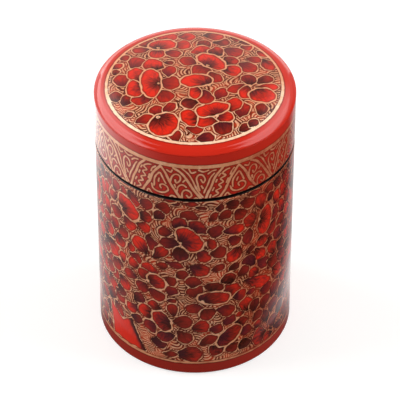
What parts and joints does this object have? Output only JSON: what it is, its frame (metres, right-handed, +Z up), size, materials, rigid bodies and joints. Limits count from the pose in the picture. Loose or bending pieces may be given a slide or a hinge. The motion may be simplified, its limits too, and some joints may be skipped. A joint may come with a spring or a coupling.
{
  "type": "wooden canister",
  "caption": "Small turned wooden canister with a lift-off domed lid on an inner collar, painted all over with gilt-edged flowers under clear lacquer.",
  "frame": {"origin": "centre of the foot ring's underside, on the surface the canister stands on", "axes": "+Z up through the lid along the turning axis; X and Y lie in the foot's plane, with -Y towards the side the picture shows"},
  "size_m": [0.07, 0.07, 0.1074],
  "materials": {
    "painted_case": "red ground with maroon and scarlet flowers edged in gold paint, under high-gloss clear lacquer",
    "black_lacquer": "plain black paint under clear lacquer"
  },
  "bodies": {
    "canister": {"body_wall": "painted_case", "base_disc": "black_lacquer", "inner_collar": "black_lacquer"},
    "lid": {"lid_wall": "painted_case", "lid_top": "painted_case"}
  },
  "joints": [
    {"name": "lid_lift", "type": "slide", "parent": "canister", "child": "lid", "axis": [0, 0, 1], "range_m": [0, 0.04]}
  ]
}
